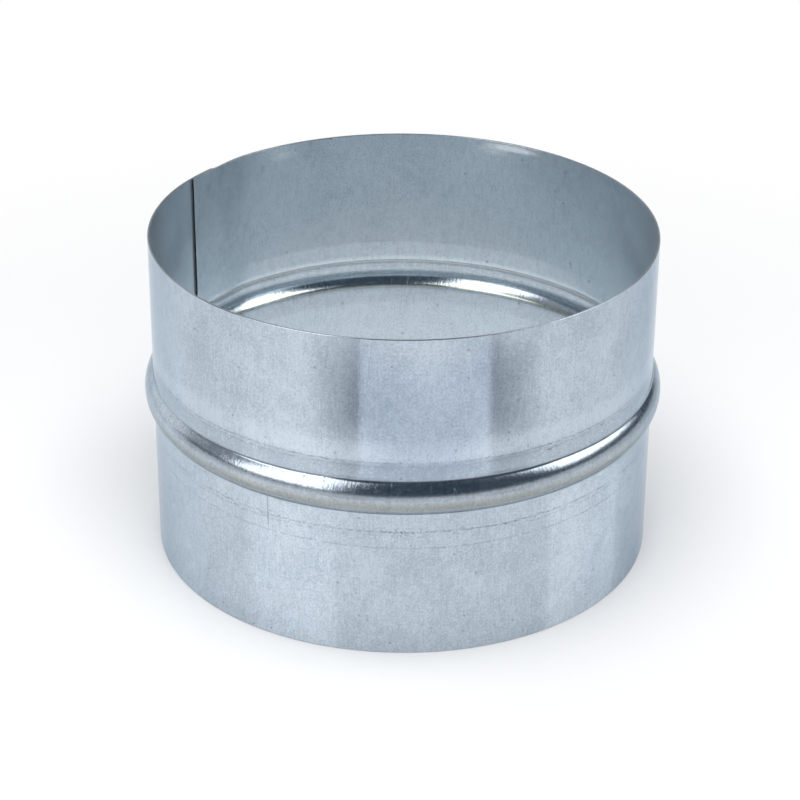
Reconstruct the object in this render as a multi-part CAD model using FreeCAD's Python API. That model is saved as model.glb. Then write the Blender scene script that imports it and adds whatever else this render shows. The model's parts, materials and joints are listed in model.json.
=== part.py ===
"""Duct connector: one strip of galvanised sheet, rolled into a sleeve, lapped and welded, with one stop bead.

The sleeve stands on its lower rim with the duct axis on +Z and the origin at the middle of that rim.
A duct slides over each end as far as the bead. All lengths are millimetres.
"""
import FreeCAD, Part
import math
import os

from FreeCAD import Vector

# Fit with the duct
duct_bore = 150.0  # inside diameter of the duct that slides over either end
duct_clearance = 0.3  # radial room between the sleeve and that duct

# Sheet and spigots
sheet = 0.6
upper_spigot = 43.5  # from the bead to the upper rim
lower_spigot = 45.5  # from the lower rim to the bead

# Stop bead, rolled outwards
bead_width = 10.0
bead_height = 2.6
bead_root_radius = 0.8  # hollow corner between the bead and its shoulder
shoulder_width = 6.0  # band on each side that the bead rollers draw outwards
shoulder_rise = 0.2

# Lap seam: runs are measured along the girth
seam_angle = 143.0  # degrees from +X to the outer layer's free edge, counterclockwise from above
lap = 10.6  # overlap of the two layers
lip_run = 20.0  # stretch over which the outer layer's end curls in
lip_draw = 0.35  # how far its free edge is drawn in
joggle_run = 15.0  # stretch over which the other end steps in under the outer layer
weld_width = 3.0
weld_gap = 0.1  # between the layers where the weld joins them

outer_radius = duct_bore / 2 - duct_clearance
sleeve_length = lower_spigot + bead_width + upper_spigot
bead_level = lower_spigot + bead_width / 2

# Radii of the bends along the strip: each meets the next in line, and a negative one bends the other way
step_in = lip_draw + sheet + weld_gap
half_joggle = joggle_run / 2
lip_radius = 1 / (1 / outer_radius + 2 * lip_draw / lip_run ** 2)
step_down_radius = 1 / (1 / outer_radius + step_in / half_joggle ** 2)
step_back_radius = 1 / (1 / outer_radius - step_in / half_joggle ** 2)
flap_radius = outer_radius - step_in


def mirrored(point):
    """The same point on the other side of the bead's mid plane."""
    return Vector(point.x, 0, 2 * bead_level - point.z)


def sheet_line(depth):
    """Edges from the lower to the upper rim, in the XZ plane, at a depth below the sheet's outer face."""
    crown_rise = bead_height - shoulder_rise
    bead_radius = ((bead_width / 2) ** 2 + crown_rise ** 2) / (2 * crown_rise)
    bead_centre = Vector(outer_radius + bead_height - bead_radius, 0, bead_level)

    crease = Vector(outer_radius, 0, lower_spigot - shoulder_width)
    slope = Vector(shoulder_rise, 0, shoulder_width).normalize()
    away = Vector(slope.z, 0, -slope.x)

    # The root corner is an arc that touches the shoulder line and the bead's arc
    reach = bead_radius + bead_root_radius
    offset = crease + away * bead_root_radius - bead_centre
    along = offset.dot(slope)
    travel = -along - math.sqrt(along ** 2 - offset.dot(offset) + reach ** 2)
    root_centre = crease + slope * travel + away * bead_root_radius
    towards_root = (root_centre - bead_centre).normalize()
    mid_root = (away + towards_root).normalize()
    root_radius = bead_root_radius + depth

    # The crease moves along the line that halves its small angle
    crease_shift = Vector(1, 0, -math.tan(math.atan2(slope.x, slope.z) / 2)) * depth
    rim_start = Vector(outer_radius - depth, 0, 0)
    rim_end = Vector(outer_radius - depth, 0, sleeve_length)
    bend = crease - crease_shift
    root_start = root_centre - away * root_radius
    root_middle = root_centre - mid_root * root_radius
    root_end = root_centre - towards_root * root_radius
    crown = bead_centre + Vector(bead_radius - depth, 0, 0)

    return [
        Part.LineSegment(rim_start, bend).toShape(),
        Part.LineSegment(bend, root_start).toShape(),
        Part.Arc(root_start, root_middle, root_end).toShape(),
        Part.Arc(root_end, crown, mirrored(root_end)).toShape(),
        Part.Arc(mirrored(root_end), mirrored(root_middle), mirrored(root_start)).toShape(),
        Part.LineSegment(mirrored(root_start), mirrored(bend)).toShape(),
        Part.LineSegment(mirrored(bend), rim_end).toShape(),
    ]


def section(outer_depth, inner_depth):
    """Face of the sheet between two depths, in the XZ plane."""
    outer = sheet_line(outer_depth)
    inner = sheet_line(inner_depth)
    lower_rim = Part.LineSegment(inner[0].firstVertex().Point, outer[0].firstVertex().Point).toShape()
    upper_rim = Part.LineSegment(outer[-1].lastVertex().Point, inner[-1].lastVertex().Point).toShape()
    return Part.Face(Part.Wire([lower_rim] + outer + [upper_rim] + inner[::-1]))


def outward(angle):
    """Level direction at an angle from +X, in degrees."""
    return Vector(math.cos(math.radians(angle)), math.sin(math.radians(angle)), 0)


class Station:
    """A place along the strip: a point of its outer face, seen from above, and the angle that the face looks to."""

    def __init__(self, point, angle):
        self.point = point
        self.angle = angle

    def bend_centre(self, radius):
        return self.point - outward(self.angle) * radius

    def moved(self, radius, run):
        """The station at the end of a bend."""
        angle = self.angle + math.degrees(run / radius)
        return Station(self.bend_centre(radius) + outward(angle) * radius, angle)

    def rolled(self, radius, run, outer_depth=0.0, inner_depth=sheet):
        """Solid of the bend: a section of the sheet, turned about the bend's own upright axis."""
        outline = section(outer_depth, inner_depth)
        outline.rotate(Vector(0, 0, 0), Vector(0, 0, 1), self.angle)
        outline.translate(self.point - outward(self.angle) * outer_radius)
        return outline.revolve(self.bend_centre(radius), Vector(0, 0, 1), math.degrees(run / radius))


def connector_sleeve():
    """The whole strip as one solid, from the outer layer's free edge round to the inner layer's."""
    lip_root_angle = seam_angle + math.degrees(lip_run / outer_radius)
    lip_root = Station(outward(lip_root_angle) * outer_radius, lip_root_angle)
    free_edge = lip_root.moved(lip_radius, -lip_run)
    round_run = math.tau * outer_radius - lip_run - joggle_run
    joggle_start = lip_root.moved(outer_radius, round_run)
    joggle_middle = joggle_start.moved(step_down_radius, half_joggle)
    flap_start = joggle_middle.moved(step_back_radius, half_joggle)

    lip = lip_root.rolled(lip_radius, -lip_run)
    round_wall = lip_root.rolled(outer_radius, round_run)
    step_down = joggle_start.rolled(step_down_radius, half_joggle)
    step_back = joggle_middle.rolled(step_back_radius, half_joggle)
    flap = flap_start.rolled(flap_radius, lap)
    weld = free_edge.rolled(lip_radius, weld_width, sheet / 2, step_in - lip_draw + sheet / 2)
    return round_wall.fuse([lip, step_down, step_back, flap, weld]).removeSplitter().Solids[0]


os.makedirs("parts", exist_ok=True)
connector_sleeve().exportStep("parts/connector_sleeve.step")
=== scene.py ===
"""Looks of the duct connector: one galvanised strip, rolled, lapped and beaded, on a pale floor."""
import json
import math

import bpy
from mathutils import Matrix, Vector


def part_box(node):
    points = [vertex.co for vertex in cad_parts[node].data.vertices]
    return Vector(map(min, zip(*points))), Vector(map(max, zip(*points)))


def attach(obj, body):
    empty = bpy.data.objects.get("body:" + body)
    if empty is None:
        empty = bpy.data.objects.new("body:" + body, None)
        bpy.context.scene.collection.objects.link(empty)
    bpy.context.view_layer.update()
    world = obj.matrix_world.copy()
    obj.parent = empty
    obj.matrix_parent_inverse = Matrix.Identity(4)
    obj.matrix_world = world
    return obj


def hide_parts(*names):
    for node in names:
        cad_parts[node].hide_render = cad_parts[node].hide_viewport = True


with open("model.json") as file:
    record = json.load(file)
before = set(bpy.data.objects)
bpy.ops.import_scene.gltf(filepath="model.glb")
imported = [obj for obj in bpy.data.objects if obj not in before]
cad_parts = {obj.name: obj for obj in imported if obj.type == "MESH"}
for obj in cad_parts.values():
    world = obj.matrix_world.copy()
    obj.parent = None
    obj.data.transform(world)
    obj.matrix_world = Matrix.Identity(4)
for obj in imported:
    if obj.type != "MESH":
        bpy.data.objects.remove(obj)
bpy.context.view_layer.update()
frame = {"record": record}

MM = 0.001

# Sizes that the frame gives, in metres
lowest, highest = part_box("connector_sleeve")
mounts = {mount["name"]: mount for mount in frame["record"]["mounts"]}
outer_radius = mounts["upper_spigot"]["dims"]["r_mm"] * MM
upper_wall = mounts["upper_spigot"]["dims"]["length_mm"] * MM
lower_wall = mounts["lower_spigot"]["dims"]["length_mm"] * MM
sleeve_length = highest[2] - lowest[2]
bead_height = (highest[0] - lowest[0]) / 2 - outer_radius

# Sizes of the sheet and the rolled bead, in metres
sheet = 0.6 * MM
shoulder_width = 6.0 * MM  # band on each side of the bead that the rollers drew outwards
shoulder_rise = 0.2 * MM
bead_width = sleeve_length - upper_wall - lower_wall - 2 * shoulder_width
bead_root = 0.3 * MM  # smoothing of the corner between the bead and its shoulder

# Sizes of the lap seam and the cut edges, in metres; runs are measured along the girth
seam_angle = math.radians(143)  # from +X to the outer layer's free edge
lap = 10.6 * MM
lip_run = 20.0 * MM  # stretch over which the outer layer's end curls in
lip_draw = 0.35 * MM  # how far its free edge is drawn in
joggle_run = 15.0 * MM  # stretch over which the other end steps in under the outer layer
edge_gap = 0.15 * MM  # how far the inner layer's free edge springs away
edge_round = 0.22 * MM
edge_steps = 3
edge_angle = math.radians(60)  # a sharper turn of the surface is a cut edge

# Mesh of the strip: steps along the girth, and rows in each band from the lower rim up
girth_steps = 400
wall_rows = 18
crease_rows = 2
crease_width = 0.5 * MM
shoulder_rows = 7
bead_rows = 44


class Value:
    """One output of a node; arithmetic on it adds Math nodes to its tree."""

    def __init__(self, graph, socket):
        self.graph = graph
        self.socket = socket

    def __add__(self, other):
        return self.graph.maths("ADD", self, other)

    def __radd__(self, other):
        return self.graph.maths("ADD", other, self)

    def __sub__(self, other):
        return self.graph.maths("SUBTRACT", self, other)

    def __rsub__(self, other):
        return self.graph.maths("SUBTRACT", other, self)

    def __mul__(self, other):
        return self.graph.maths("MULTIPLY", self, other)

    def __rmul__(self, other):
        return self.graph.maths("MULTIPLY", other, self)

    def __truediv__(self, other):
        return self.graph.maths("DIVIDE", self, other)

    def __rtruediv__(self, other):
        return self.graph.maths("DIVIDE", other, self)

    def __abs__(self):
        return self.graph.maths("ABSOLUTE", self)


class Graph:
    """A node tree that is written as expressions."""

    def __init__(self, tree):
        self.tree = tree
        tree.nodes.clear()

    def node(self, kind, settings=None, inputs=None):
        """Adds a node, sets it up, then gives its sockets their values or links."""
        node = self.tree.nodes.new(kind)
        for name, setting in (settings or {}).items():
            setattr(node, name, setting)
        for key, value in (inputs or {}).items():
            socket = self.pick(node.inputs, key)
            if isinstance(value, Value):
                self.tree.links.new(value.socket, socket)
            else:
                socket.default_value = value
        return node

    def value(self, output, kind, settings=None, inputs=None):
        """The named output of a new node."""
        return Value(self, self.pick(self.node(kind, settings, inputs).outputs, output))

    def maths(self, operation, *terms):
        return self.value(0, "ShaderNodeMath", {"operation": operation}, dict(enumerate(terms)))

    def clamped(self, value):
        """A value kept between 0 and 1."""
        return self.value(0, "ShaderNodeClamp", None, {"Value": value})

    @staticmethod
    def pick(sockets, key):
        """A socket by position, identifier or name."""
        if isinstance(key, int):
            return sockets[key]
        return next((socket for socket in sockets if socket.identifier == key), None) or sockets[key]


def ease(value):
    """Smooth step of a value from 0 to 1."""
    return value * value * (3 - 2 * value)


# Strip, rolled and lapped

STRIP_MAP = "strip"  # the strip's own map: girth from the outer layer's free edge and height, in metres
STRIP_SIZES = {
    "Outer Radius": outer_radius,
    "Lower Wall": lower_wall,
    "Upper Wall": upper_wall,
    "Shoulder Width": shoulder_width,
    "Shoulder Rise": shoulder_rise,
    "Bead Width": bead_width,
    "Bead Height": bead_height,
    "Bead Root": bead_root,
    "Crease Width": crease_width,
    "Sheet": sheet,
    "Seam Angle": seam_angle,
    "Lap": lap,
    "Lip Run": lip_run,
    "Lip Draw": lip_draw,
    "Joggle Run": joggle_run,
    "Edge Gap": edge_gap,
}


def strip_bands(size):
    """Rows and height of each band of the strip, from the lower rim up."""
    return [
        (wall_rows, size["Lower Wall"] - size["Crease Width"]),
        (crease_rows, size["Crease Width"]),
        (shoulder_rows, size["Shoulder Width"]),
        (bead_rows, size["Bead Width"]),
        (shoulder_rows, size["Shoulder Width"]),
        (crease_rows, size["Crease Width"]),
        (wall_rows, size["Upper Wall"] - size["Crease Width"]),
    ]


def row_height(graph, bands, row):
    """Height of a row above the lower rim."""
    height = 0
    passed = 0
    for rows, band_height in bands:
        height = graph.clamped((row - passed) / rows) * band_height + height
        passed += rows
    return height


def wall_reach(graph, size, height):
    """Distance from the duct axis: plain walls, shoulders that rise to the bead, and the bead's arc."""
    half_bead = size["Bead Width"] / 2
    middle = size["Lower Wall"] + size["Shoulder Width"] + half_bead
    from_bead = abs(height - middle)
    shoulder = size["Shoulder Rise"] * graph.clamped(1 - (from_bead - half_bead) / size["Shoulder Width"])
    crown_rise = size["Bead Height"] - size["Shoulder Rise"]
    bead_radius = (half_bead * half_bead + crown_rise * crown_rise) / (2 * crown_rise)
    chord = graph.maths("MAXIMUM", bead_radius * bead_radius - from_bead * from_bead, 0.0)
    bead = size["Bead Height"] - bead_radius + graph.maths("SQRT", chord)
    return size["Outer Radius"] + graph.maths("SMOOTH_MAX", shoulder, bead, size["Bead Root"])


def seam_depth(graph, size, girth, turn):
    """Depth of the outer layer's lip, and of the inner layer that steps in under it and springs open."""
    past = girth - turn
    lip = size["Lip Draw"] * ease(graph.clamped(1 - girth / size["Lip Run"]))
    step = (size["Lip Draw"] + size["Sheet"]) * ease(graph.clamped(1 + past / size["Joggle Run"]))
    release = size["Lip Draw"] * (1 - ease(graph.clamped(1 - past / size["Lip Run"])))
    lapped = graph.clamped(past / size["Lap"])
    return lip + step - release + size["Edge Gap"] * lapped * lapped


def strip_tree(material):
    """The strip's outer face as a Geometry Nodes rule, and the identifiers of its size inputs."""
    tree = bpy.data.node_groups.new("rolled_strip", "GeometryNodeTree")
    tree.is_modifier = True
    identifiers = {}
    for name in STRIP_SIZES:
        socket = tree.interface.new_socket(name, in_out="INPUT", socket_type="NodeSocketFloat")
        identifiers[name] = socket.identifier
    tree.interface.new_socket("Geometry", in_out="OUTPUT", socket_type="NodeSocketGeometry")

    graph = Graph(tree)
    sizes = graph.node("NodeGroupInput")
    size = {name: Value(graph, sizes.outputs[name]) for name in STRIP_SIZES}
    bands = strip_bands(size)
    row_count = sum(rows for rows, band_height in bands)
    flat = graph.value("Mesh", "GeometryNodeMeshGrid", None, {
        "Size X": 1.0, "Size Y": 1.0, "Vertices X": girth_steps + 1, "Vertices Y": row_count + 1})
    place = graph.node("ShaderNodeSeparateXYZ", None, {0: graph.value(0, "GeometryNodeInputPosition")})
    along = Value(graph, place.outputs["X"]) + 0.5
    row = (Value(graph, place.outputs["Y"]) + 0.5) * row_count

    # The grid's own map, stored while it is flat
    turn = size["Outer Radius"] * math.tau
    girth = along * (turn + size["Lap"])
    height = row_height(graph, bands, row)
    spread = graph.value(0, "ShaderNodeCombineXYZ", None, {"X": girth, "Y": height})
    corner_map = {"data_type": "FLOAT2", "domain": "CORNER"}
    sheet_map = graph.value(0, "GeometryNodeStoreNamedAttribute", corner_map, {
        "Geometry": flat, "Name": STRIP_MAP, "Value": spread})

    # Rolled up and beaded
    angle = size["Seam Angle"] + girth / size["Outer Radius"]
    reach = wall_reach(graph, size, height)
    rolled = graph.value(0, "ShaderNodeCombineXYZ", None, {
        "X": reach * graph.maths("COSINE", angle), "Y": reach * graph.maths("SINE", angle), "Z": height})
    wrapped = graph.value(0, "GeometryNodeSetPosition", None, {"Geometry": sheet_map, "Position": rolled})

    # Lapped: both ends move in along the sheet's normal
    mapped = graph.value("Attribute", "GeometryNodeInputNamedAttribute", {"data_type": "FLOAT_VECTOR"}, {
        "Name": STRIP_MAP})
    mapped_girth = graph.value("X", "ShaderNodeSeparateXYZ", None, {0: mapped})
    depth = seam_depth(graph, size, mapped_girth, turn)
    inset = graph.value(0, "ShaderNodeVectorMath", {"operation": "SCALE"}, {
        0: graph.value(0, "GeometryNodeInputNormal"), "Scale": 0 - depth})
    seamed = graph.value(0, "GeometryNodeSetPosition", None, {"Geometry": wrapped, "Offset": inset})

    smooth = graph.value(0, "GeometryNodeSetShadeSmooth", None, {"Geometry": seamed})
    whole = graph.value(0, "GeometryNodeRealizeInstances", None, {"Geometry": smooth})
    dressed = graph.value(0, "GeometryNodeSetMaterial", None, {"Geometry": whole, "Material": material})
    graph.node("NodeGroupOutput", None, {"Geometry": dressed})
    return tree, identifiers


def evaluated_mesh(piece):
    """A plain mesh of what a piece's modifiers make."""
    depsgraph = bpy.context.evaluated_depsgraph_get()
    return bpy.data.meshes.new_from_object(piece.evaluated_get(depsgraph), depsgraph=depsgraph)


def make_sleeve(outside, inside, sheared):
    """The rolled strip, with the sheet's thickness and softened cut edges."""
    tree, identifiers = strip_tree(outside)
    sleeve = bpy.data.objects.new("sleeve", bpy.data.meshes.new("sleeve"))
    bpy.context.scene.collection.objects.link(sleeve)
    rule = sleeve.modifiers.new("rolled_strip", "NODES")
    rule.node_group = tree
    for name, identifier in identifiers.items():
        rule[identifier] = STRIP_SIZES[name]
    mesh = evaluated_mesh(sleeve)
    sleeve.modifiers.remove(rule)
    sleeve.data = mesh
    finishes = [outside, inside, sheared]
    mesh.materials.clear()
    for material in finishes:
        mesh.materials.append(material)

    wall = sleeve.modifiers.new("sheet", "SOLIDIFY")
    wall.thickness = sheet
    wall.offset = -1
    wall.use_even_offset = True
    wall.material_offset = finishes.index(inside)
    wall.material_offset_rim = finishes.index(sheared)
    edges = sleeve.modifiers.new("cut_edges", "BEVEL")
    edges.width = edge_round
    edges.segments = edge_steps
    edges.limit_method = "ANGLE"
    edges.angle_limit = edge_angle
    edges.harden_normals = True

    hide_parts("connector_sleeve")
    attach(sleeve, "root")


# Finishes

DARK_ZINC = (0.41, 0.475, 0.54, 1)
PALE_ZINC = (0.58, 0.65, 0.72, 1)
MARK_COLOUR = (0.15, 0.17, 0.20, 1)
EDGE_TINT = (0.72, 0.78, 0.84, 1)
# warm tint painted under the bead as a reflection of the floor
WARM_REFLECTION_TINT = (0.69, 0.64, 0.56, 1)
# pale zinc painted on the bead's foot as light
PAINTED_LIGHT_ZINC = (0.80, 0.84, 0.88, 1)
TAN_ZINC = (0.84, 0.81, 0.71, 1)
TAN_TINT = (0.86, 0.80, 0.66, 1)
# tint that paints the inside paler, as light inside the tube
PAINTED_INSIDE_LIGHT = (1.09, 1.09, 1.06, 1)
# white painted where the rim glints
GLINT_WHITE = (0.90, 0.93, 0.95, 1)
CUT_DARK = (0.10, 0.11, 0.12, 1)
CUT_BRIGHT = (0.32, 0.34, 0.36, 1)
SEAM_SHADOW = (0.03, 0.035, 0.04, 1)

# Levels above the lower rim, and the strip's whole girth, in millimetres
upper_rim = sleeve_length / MM
upper_crease = (sleeve_length - upper_wall) / MM
lower_crease = lower_wall / MM
bead_top = upper_crease - shoulder_width / MM
bead_foot = lower_crease + shoulder_width / MM
bead_middle = (bead_top + bead_foot) / 2
strip_end = (math.tau * outer_radius + lap) / MM

# Bands of another tone or tint round the sleeve, outside and then inside: level and half width in mm
ROLLED_SHOULDER = ((upper_crease + bead_top) / 2, 4.5)
# Painted reflection: a lighter band just above the upper crease, for the brighter floor the wall shows
# there
PAINTED_REFLECTION_WALL = (upper_crease + 3.2, 4)
# Painted light: a paler band on the bead's foot, which thins the dark reflection line there
PAINTED_LIGHT_FOOT = (bead_foot + 1, 1.2)
SHADED_GROOVE = (bead_top - 2.8, 2.6)
# Partly painted light: the tan band at the groove's upper root is pale enough to lift its dark reflection
TAN_AND_LIGHT_GROOVE = (bead_top - 0.9, 1.1)
TAN_FOOT = (bead_foot, 0.5)

# Lower part of the bead, outside and then inside: level where it starts and run of the change in mm
# Painted reflection: the bead's underside tinted warm, for the warm floor it shows
WARM_REFLECTION_UNDERSIDE = (bead_middle + 1.5, 3)
BRIGHT_GROOVE = (bead_middle - 0.5, 1.5)

# Lines that the bead rollers scored round the outside: level and half width in mm, and strength
OUTSIDE_SCORES = [
    (upper_crease, 0.3, 0.65),
    (upper_crease - 1.2, 0.25, 0.35),
    (bead_top + 0.6, 0.2, 0.45),
    (lower_crease + 0.2, 0.35, 0.7),
    (lower_crease - 1, 0.2, 0.35),
    (lower_crease - 4.9, 0.3, 0.45),
]
SCUFF_LEVELS = [upper_crease - 1, lower_crease]
SCUFF_HALF_WIDTH = 2.4
SCUFF_STRENGTH = 0.75
SCRATCH_GIRTH = 126.2
SCRATCH_HALF_WIDTH = 0.3
SCRATCH_END = lower_crease - 3
SCRATCH_STRENGTH = 0.5
PIT_RADIUS = 0.16  # as a share of the pits' spacing
PIT_STRENGTH = 0.5

# Painted highlights just under the upper rim, inside: girth, half length and depth in mm, and strength
PAINTED_RIM_GLINTS = [(364, 12, 1.6, 1.7), (371, 10, 3.2, 0.3), (441, 9, 3.4, 0.25)]

# Heights of the bumps in the coat, in millimetres
WALL_RELIEF = 0.006
BEAD_RELIEF = 0.045


def new_material(name):
    """A material and the graph of its empty tree."""
    material = bpy.data.materials.new(name)
    material.use_nodes = True
    return material, Graph(material.node_tree)


def finish_material(graph, sockets):
    """Ends a material's graph in one Principled shader."""
    shader = graph.value("BSDF", "ShaderNodeBsdfPrincipled", None, sockets)
    graph.node("ShaderNodeOutputMaterial", None, {"Surface": shader})


def mixed(graph, blend, share, first, second):
    """Two colours, blended."""
    return graph.value("Result_Color", "ShaderNodeMix", {"data_type": "RGBA", "blend_type": blend}, {
        "Factor_Float": share, "A_Color": first, "B_Color": second})


def strip_position(graph):
    """Place on the strip in millimetres: along its girth and up its height."""
    strip = graph.value("UV", "ShaderNodeUVMap", {"uv_map": STRIP_MAP})
    split = graph.node("ShaderNodeSeparateXYZ", None, {0: strip})
    return Value(graph, split.outputs["X"]) / MM, Value(graph, split.outputs["Y"]) / MM


def grain_place(graph, girth, height, grain, seed):
    """Place on the strip, counted in grains of a length along the girth and a height in mm."""
    length, rise = grain
    return graph.value(0, "ShaderNodeCombineXYZ", None, {
        "X": girth / length, "Y": height / rise, "Z": seed})


def noise(graph, girth, height, grain, seed, detail=2.0, roughness=0.5):
    """Noise over the strip, about 0 and mostly within 0.5 of it."""
    return graph.value(0, "ShaderNodeTexNoise", None, {
        "Vector": grain_place(graph, girth, height, grain, seed),
        "Scale": 1.0, "Detail": detail, "Roughness": roughness}) - 0.5


def patches(graph, girth, height, grain, seed, cover, contrast, detail=2.0, roughness=0.5):
    """Noise cut into patches that are 1 and gaps that are 0; the higher the cover, the fewer gaps."""
    return graph.clamped(cover + contrast * noise(graph, girth, height, grain, seed, detail, roughness))


def random_cells(graph, girth, height, grain, seed):
    """Cells over the strip: a random shade from 0 to 1 for each, and the distance from its middle."""
    cells = graph.node("ShaderNodeTexVoronoi", None, {
        "Vector": grain_place(graph, girth, height, grain, seed), "Scale": 1.0})
    shade = graph.value("Red", "ShaderNodeSeparateColor", None, {0: Value(graph, cells.outputs["Color"])})
    return shade, Value(graph, cells.outputs["Distance"])


def band(graph, place, middle, half_width, core=1.5):
    """1 along a middle line and 0 from a half width away; a larger core leaves a sharper edge."""
    return graph.clamped(core - core * abs(place - middle) / half_width)


def below(graph, height, level, run):
    """0 down to a level, then rising to 1 over a run below it."""
    return graph.clamped((level - height) / run)


def on_bead(graph, height):
    """1 on the bead and 0 on the walls."""
    margin = 0.2
    return graph.clamped(2 * (bead_top - bead_middle + margin - abs(height - bead_middle)))


def zinc_tone(graph, girth, height, cloudiness, seed):
    """Light and dark of the zinc coat: broad clouds, drawn streaks, fine grain and crystals."""
    clouds = noise(graph, girth, height, (14, 18), seed, detail=3.0)
    streaks = noise(graph, girth, height, (0.7, 6), seed + 10)
    grain = noise(graph, girth, height, (0.55, 0.7), seed + 20, roughness=0.7)
    crystals, _ = random_cells(graph, girth, height, (1.3, 1.8), seed + 30)
    return cloudiness * clouds + streaks + 2.7 * grain + 0.35 * (crystals - 0.5), clouds


def zinc_colour(graph, tone, marks):
    """Zinc at a tone about 0, darkened where the marks are 1."""
    zinc = mixed(graph, "MIX", 0.5 + tone, DARK_ZINC, PALE_ZINC)
    return mixed(graph, "MIX", graph.clamped(marks), zinc, MARK_COLOUR)


def zinc_normal(graph, girth, height, bead, seed):
    """Faint roller grain on the walls, and the coat rumpled where the bead stretched it."""
    drawn = noise(graph, girth, height, (0.7, 3), seed)
    rumpled = noise(graph, girth, height, (0.6, 1.4), seed + 1, detail=3.0, roughness=0.6)
    relief = WALL_RELIEF * drawn + BEAD_RELIEF * bead * rumpled
    return graph.value("Normal", "ShaderNodeBump", None, {
        "Strength": 1.0, "Distance": MM, "Height": relief})


def specks(graph, girth, height, spacing, share, seed):
    """Small scattered pits, 1 in a pit and 0 elsewhere; a share of the places has one."""
    chance, distance = random_cells(graph, girth, height, (spacing, spacing), seed)
    return graph.maths("LESS_THAN", chance, share) * band(graph, distance, 0, PIT_RADIUS, core=1.6)


def scored_line(graph, girth, height, level, half_width):
    """A broken line that the rollers scored round the sleeve, 1 on the line and 0 off it."""
    # How far the line wanders from its level, in millimetres
    sway = 0.8 * noise(graph, girth, height, (12, 40), level)
    shake = 1.1 * noise(graph, girth, height, (0.9, 40), level + 2, detail=3.0)
    line = band(graph, height + sway + shake, level, half_width, core=1.6)
    dots = patches(
        graph, girth, height, (1.6, 9), level + 1, cover=0.55, contrast=4, detail=4.0, roughness=0.8)
    stretches = patches(graph, girth, height, (22, 40), level + 3, cover=0.75, contrast=3)
    return line * dots * stretches


def scuffs(graph, girth, height, level):
    """Short rubbed dashes in patches about a level, 1 on a dash and 0 off it."""
    dashes = patches(graph, girth, height, (1.1, 0.5), level, cover=-0.8, contrast=9)
    groups = patches(graph, girth, height, (14, 30), level + 1, cover=0.35, contrast=4)
    return dashes * groups * band(graph, height, level, SCUFF_HALF_WIDTH)


def upright_scratch(graph, girth, height):
    """One scratch down the lower shoulder, 1 on it and 0 off it."""
    wander = 0.4 * noise(graph, girth, height, (40, 3), seed=71)
    line = band(graph, girth + wander, SCRATCH_GIRTH, SCRATCH_HALF_WIDTH)
    past_end = below(graph, height, SCRATCH_END, run=1.0)
    return line * below(graph, height, bead_foot, run=0.5) * (1 - past_end)


def painted_rim_glints(graph, girth, height):
    """The painted glints under the upper rim, inside, 1 where a highlight is painted and 0 elsewhere."""
    ragged = patches(
        graph, girth, height, (2.2, 0.5), seed=81, cover=0.8, contrast=2, detail=4.0, roughness=0.8)
    glints = 0
    for place, half_length, depth, strength in PAINTED_RIM_GLINTS:
        along = ease(graph.clamped(1 - abs(girth - place) / half_length))
        across = ease(graph.clamped(1 - abs(height - (upper_rim - depth)) / depth))
        glints = strength * ragged * along * across + glints
    return graph.clamped(glints)


def galvanised_outside():
    """Cloudy zinc with scored lines, scuffs and a scratch; painted reflections over the upper crease and
    under the bead, and painted light on the bead's foot.
    """
    material, graph = new_material("galvanised_outside")
    girth, height = strip_position(graph)
    tone, clouds = zinc_tone(graph, girth, height, cloudiness=1.3, seed=3)

    marks = PIT_STRENGTH * specks(graph, girth, height, spacing=3.0, share=0.2, seed=7)
    for level, half_width, strength in OUTSIDE_SCORES:
        marks = marks + strength * scored_line(graph, girth, height, level, half_width)
    for level in SCUFF_LEVELS:
        marks = marks + SCUFF_STRENGTH * scuffs(graph, girth, height, level)
    marks = marks + SCRATCH_STRENGTH * upright_scratch(graph, girth, height)

    bead = on_bead(graph, height)
    dull = bead * patches(
        graph, girth, height, (1.0, 2.6), seed=61, cover=-0.5, contrast=6, detail=3.0, roughness=0.7)
    rolled = band(graph, height, *ROLLED_SHOULDER)
    # painted reflection: the wall lighter just above the upper crease
    reflection_band = band(graph, height, *PAINTED_REFLECTION_WALL)
    # painted reflection: the bead's underside warm, as it shows the floor
    reflection_under_bead = bead * below(graph, height, *WARM_REFLECTION_UNDERSIDE)
    # painted light: the bead's foot paler, thinning its dark reflection line
    painted_foot_light = band(graph, height, *PAINTED_LIGHT_FOOT)

    zinc = zinc_colour(graph, tone + 0.4 * dull - 0.32 * rolled + 0.35 * reflection_band, marks)
    warm_reflected = mixed(graph, "MULTIPLY", reflection_under_bead, zinc, WARM_REFLECTION_TINT)
    finish_material(graph, {
        "Base Color": mixed(graph, "MIX", 0.4 * painted_foot_light, warm_reflected, PAINTED_LIGHT_ZINC),
        "Metallic": 0.94 + 0.06 * bead - 0.3 * dull,
        "Roughness": 0.14 + 0.06 * clouds + 0.08 * bead,
        "Normal": zinc_normal(graph, girth, height, bead, seed=41),
        "Specular Tint": EDGE_TINT,
        "Anisotropic": 0.3,
        "Anisotropic Rotation": 0.25,
    })
    return material


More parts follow.
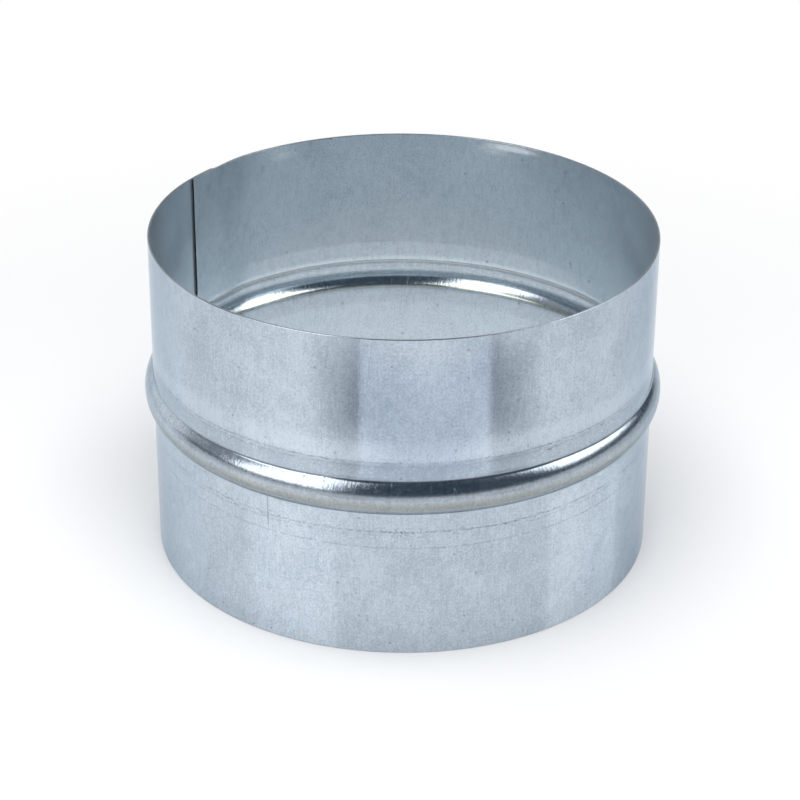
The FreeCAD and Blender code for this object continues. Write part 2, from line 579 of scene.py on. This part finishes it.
def galvanised_inside():
    """More even zinc, painted paler as light, with tan lines by the bead's groove and painted glints
    under the rim.
    """
    material, graph = new_material("galvanised_inside")
    girth, height = strip_position(graph)
    tone, clouds = zinc_tone(graph, girth, height, cloudiness=0.6, seed=5)
    pits = PIT_STRENGTH * specks(graph, girth, height, spacing=4.0, share=0.2, seed=9)

    bead = on_bead(graph, height)
    dull = bead * patches(
        graph, girth, height, (0.7, 2.4), seed=63, cover=-0.3, contrast=5, detail=3.0, roughness=0.7)
    bright = bead * below(graph, height, *BRIGHT_GROOVE)
    shaded = band(graph, height, *SHADED_GROOVE)
    # painted highlights under the rim: paler and less metallic there
    glint_mask = painted_rim_glints(graph, girth, height)

    # painted light: the inside's coat paler than the outside's, for the light inside the tube
    coat = zinc_colour(graph, 0.3 + tone - 0.4 * shaded, pits)
    zinc = mixed(graph, "MULTIPLY", 1.0, coat, PAINTED_INSIDE_LIGHT)
    glinted = mixed(graph, "MIX", glint_mask, zinc, GLINT_WHITE)
    # a yellowish line, partly painted light: the groove's upper root paler over its dark reflection
    lit = mixed(graph, "MIX", 0.6 * band(graph, height, *TAN_AND_LIGHT_GROOVE), glinted, TAN_ZINC)
    finish_material(graph, {
        "Base Color": mixed(graph, "MULTIPLY", band(graph, height, *TAN_FOOT), lit, TAN_TINT),
        "Metallic": 0.8 + 0.2 * bright - 0.3 * shaded - 0.2 * dull - 0.6 * glint_mask,
        "Roughness": 0.24 + 0.06 * clouds - 0.08 * bead,
        "Normal": zinc_normal(graph, girth, height, bead, seed=43),
        "Anisotropic": 0.3,
        "Anisotropic Rotation": 0.25,
    })
    return material


def sheared_edge():
    """Bare cut steel, dragged by the shears, and dark where the inner layer ends inside the seam."""
    margin = 0.05
    material, graph = new_material("sheared_edge")
    girth, height = strip_position(graph)
    drag = noise(graph, girth, height, (0.7, 0.7), seed=31)
    bright = mixed(graph, "MIX", 0.5 + drag, CUT_DARK, CUT_BRIGHT)
    in_seam = graph.maths("GREATER_THAN", girth, strip_end - margin)
    finish_material(graph, {
        "Base Color": mixed(graph, "MIX", in_seam, bright, SEAM_SHADOW),
        "Metallic": 0.8,
        "Roughness": 0.45 + 0.2 * drag,
    })
    return material


# Studio: lengths in metres and angles in degrees, unless a comment says otherwise

WHITE = (1, 1, 1, 1)
FLOOR_COLOUR = (0.88, 0.88, 0.88, 1)
SWEEP = (0.75, 0.75, 0.75, 1)
DARK_ROOM = (0.045, 0.065, 0.09, 1)
MATT_WHITE = (0.85, 0.85, 0.85, 1)
BLUE_CARD = (0.60, 0.63, 0.69, 1)
DARK_CARD = (0.21, 0.23, 0.26, 1)

# The floor's half size, and where it turns white for the camera and gives way to the sweep in the metal
FLOOR_HALF = 4.0
WHITE_OUT = (0.09, 0.25)  # distance from the duct axis, and the run of the change
SWEEP_START = (0.3, 0.6)

# The room: where the backdrop stands, and the edges of the backdrop and the sweep on a unit direction
BACKDROP_AZIMUTH = 200
BACKDROP_EDGE = (0.5, 0.15)  # cosine of the angle to its middle, and the run of the change
SWEEP_TOP = (-0.06, 0.08)  # rise of the direction, and the run of the change

# Cards on the floor: azimuths on the sleeve's wall, and distances out from it
LEFT_CARD = (-37, -22)
LEFT_FADE = (-22, -9.5)
MIDDLE_CARD = (-9.5, 19.5)
RIGHT_FADE = (19.5, 33)
NEAR_ROW = (0.112, 0.127)
FAR_ROW = (0.127, 0.2)
CARD_LIFT = 0.3 * MM

# The photograph's viewpoint: distance and target in outer radii, focal length and width in pixels
CAMERA_ELEVATION = 27.65
CAMERA_ROLL = 0.368
CAMERA_DISTANCE = 9.916
CAMERA_TARGET = Vector((-0.0105, 0, 0.5617))
FOCAL_LENGTH = 2444
IMAGE_WIDTH = 800
SENSOR_MM = 36


def direction(azimuth, elevation=0):
    """Unit vector to a point of the studio; azimuth 0 is the camera's side and 90 its right."""
    az = math.radians(azimuth)
    el = math.radians(elevation)
    return Vector((math.sin(az) * math.cos(el), -math.cos(az) * math.cos(el), math.sin(el)))


def rising(graph, value, start, run):
    """Smooth rise from 0, where a value is at the start, to 1 a run later."""
    return ease(graph.clamped((value - start) / run))


def plane(name, corners, material):
    """A flat four-cornered piece of the studio."""
    mesh = bpy.data.meshes.new(name)
    mesh.from_pydata(corners, [], [(0, 1, 2, 3)])
    mesh.materials.append(material)
    piece = bpy.data.objects.new(name, mesh)
    bpy.context.scene.collection.objects.link(piece)
    return piece


def studio_floor():
    """A white table: the camera sees it matt, fading into white, and the metal sees it glossy."""
    material, graph = new_material("pale_floor")
    light_path = graph.node("ShaderNodeLightPath")
    camera_ray = Value(graph, light_path.outputs["Is Camera Ray"])
    glossy_ray = Value(graph, light_path.outputs["Is Glossy Ray"])
    place = graph.value("Position", "ShaderNodeNewGeometry")
    distance = graph.value("Value", "ShaderNodeVectorMath", {"operation": "LENGTH"}, {0: place})
    white_out = rising(graph, distance, *WHITE_OUT) * camera_ray
    sweep = rising(graph, distance, *SWEEP_START) * glossy_ray

    matt = graph.value("BSDF", "ShaderNodeBsdfDiffuse", None, {"Color": FLOOR_COLOUR})
    glossy = graph.value("BSDF", "ShaderNodeBsdfPrincipled", None, {
        "Base Color": FLOOR_COLOUR, "Roughness": 0.1, "IOR": 1.42})
    table = graph.value("Shader", "ShaderNodeMixShader", None, {0: glossy_ray, 1: matt, 2: glossy})
    glow_colour = mixed(graph, "MIX", glossy_ray, WHITE, SWEEP)
    glow = graph.value("Emission", "ShaderNodeEmission", None, {"Color": glow_colour, "Strength": 1.0})
    shown = graph.value("Shader", "ShaderNodeMixShader", None, {0: white_out + sweep, 1: table, 2: glow})
    graph.node("ShaderNodeOutputMaterial", None, {"Surface": shown})

    signs = [(-1, -1), (1, -1), (1, 1), (-1, 1)]
    plane("floor", [(x * FLOOR_HALF, y * FLOOR_HALF, 0) for x, y in signs], material)


def reflected_card(name, azimuths, distances, shades):
    """A card on the floor that only the metal shows, shaded from its first azimuth to its last."""
    layer = "shade"
    material, graph = new_material(name)
    shade = graph.value("Color", "ShaderNodeVertexColor", {"layer_name": layer})
    finish_material(graph, {"Base Color": shade, "Roughness": 1.0, "Specular IOR Level": 0.0})

    # The wall sends a line of sight from the camera out again at twice the azimuth where they meet
    corners = []
    for side, end in ((0, 0), (1, 0), (1, 1), (0, 1)):
        foot = direction(azimuths[side]) * outer_radius
        corner = foot + direction(2 * azimuths[side]) * distances[end]
        corners.append(corner + Vector((0, 0, CARD_LIFT)))
    card = plane(name, corners, material)
    colours = card.data.color_attributes.new(layer, "FLOAT_COLOR", "POINT")
    for point, side in zip(colours.data, (0, 1, 1, 0)):
        point.color = shades[side]
    card.visible_camera = False
    card.visible_diffuse = False
    card.visible_shadow = False


def lamp(name, place, towards, width, height, level):
    """A soft rectangular lamp that looks back along a direction; level is how bright its face is."""
    data = bpy.data.lights.new(name, "AREA")
    data.shape = "RECTANGLE"
    data.size = width
    data.size_y = height
    data.energy = level * math.pi * width * height
    softbox = bpy.data.objects.new(name, data)
    softbox.location = place
    softbox.rotation_euler = towards.to_track_quat("Z", "Y").to_euler()
    softbox.visible_camera = False
    bpy.context.scene.collection.objects.link(softbox)
    return softbox


def overhead(name, elevation, distance, width, depth, level):
    """A lamp above the camera's side that lights what is matt and doesn't show in the metal."""
    towards = direction(0, elevation)
    lamp(name, towards * distance, towards, width, depth, level).visible_glossy = False


def upright(name, azimuths, elevations, distance, level):
    """A standing panel between two azimuths and two elevations that only the metal shows."""
    towards = direction(sum(azimuths) / 2)
    width = 2 * distance * math.tan(math.radians(azimuths[1] - azimuths[0]) / 2)
    bottom, top = (distance * math.tan(math.radians(elevation)) for elevation in elevations)
    place = towards * distance + Vector((0, 0, sleeve_length / 2 + (bottom + top) / 2))
    lamp(name, place, towards, width, top - bottom, level).visible_diffuse = False


def room_colour(graph, ray):
    """What the metal shows beyond the floor: its white sweep, then the backdrop and the dark room."""
    rise = graph.value("Z", "ShaderNodeSeparateXYZ", None, {0: ray})
    facing = graph.value("Value", "ShaderNodeVectorMath", {"operation": "DOT_PRODUCT"}, {
        0: ray, 1: direction(BACKDROP_AZIMUTH)})
    walls = mixed(graph, "MIX", rising(graph, facing, *BACKDROP_EDGE), DARK_ROOM, WHITE)
    return mixed(graph, "MIX", rising(graph, rise, *SWEEP_TOP), SWEEP, walls)


def studio_world():
    """The backdrop and the dark room that the metal shows; the camera sees white all round."""
    world = bpy.data.worlds.new("studio")
    bpy.context.scene.world = world
    world.use_nodes = True
    graph = Graph(world.node_tree)
    ray = graph.value("Generated", "ShaderNodeTexCoord")
    seen = graph.value("Is Camera Ray", "ShaderNodeLightPath")
    colour = mixed(graph, "MIX", seen, room_colour(graph, ray), WHITE)
    light = graph.value("Background", "ShaderNodeBackground", None, {"Color": colour, "Strength": 1.0})
    graph.node("ShaderNodeOutputWorld", None, {"Surface": light})


def studio_camera():
    """The photograph's view, rolled a little about its own axis."""
    roll = math.radians(CAMERA_ROLL)
    back = direction(0, CAMERA_ELEVATION)
    level_right = Vector((1, 0, 0))
    level_up = back.cross(level_right)
    right = math.cos(roll) * level_right + math.sin(roll) * level_up
    up = math.cos(roll) * level_up - math.sin(roll) * level_right
    data = bpy.data.cameras.new("camera")
    data.sensor_width = SENSOR_MM
    data.lens = FOCAL_LENGTH * SENSOR_MM / IMAGE_WIDTH
    camera = bpy.data.objects.new("camera", data)
    turned = Matrix((right, up, back)).transposed().to_4x4()
    place = (CAMERA_TARGET + back * CAMERA_DISTANCE) * outer_radius
    camera.matrix_world = Matrix.Translation(place) @ turned
    bpy.context.scene.collection.objects.link(camera)
    bpy.context.scene.camera = camera


make_sleeve(galvanised_outside(), galvanised_inside(), sheared_edge())
studio_floor()
studio_world()
reflected_card("white_card", MIDDLE_CARD, NEAR_ROW, (WHITE, WHITE))
reflected_card("matt_card", LEFT_CARD, FAR_ROW, (MATT_WHITE, MATT_WHITE))
reflected_card("dark_card_left", LEFT_FADE, FAR_ROW, (MATT_WHITE, DARK_CARD))
reflected_card("blue_card", MIDDLE_CARD, FAR_ROW, (BLUE_CARD, BLUE_CARD))
reflected_card("dark_card_right", RIGHT_FADE, FAR_ROW, (DARK_CARD, MATT_WHITE))
overhead("overhead_softbox", elevation=80, distance=1.2, width=1.2, depth=0.8, level=4.6)
overhead("front_fill", elevation=45, distance=1.2, width=1.2, depth=0.6, level=2.2)
upright("left_panel", azimuths=(-70, -29), elevations=(9, 78), distance=0.55, level=2.4)
upright("left_wall", azimuths=(-104, -70), elevations=(9, 60), distance=0.6, level=0.25)
upright("right_panel", azimuths=(67, 112), elevations=(19, 78), distance=0.5, level=2.5)
studio_camera()
bpy.context.scene.view_settings.view_transform = "Standard"
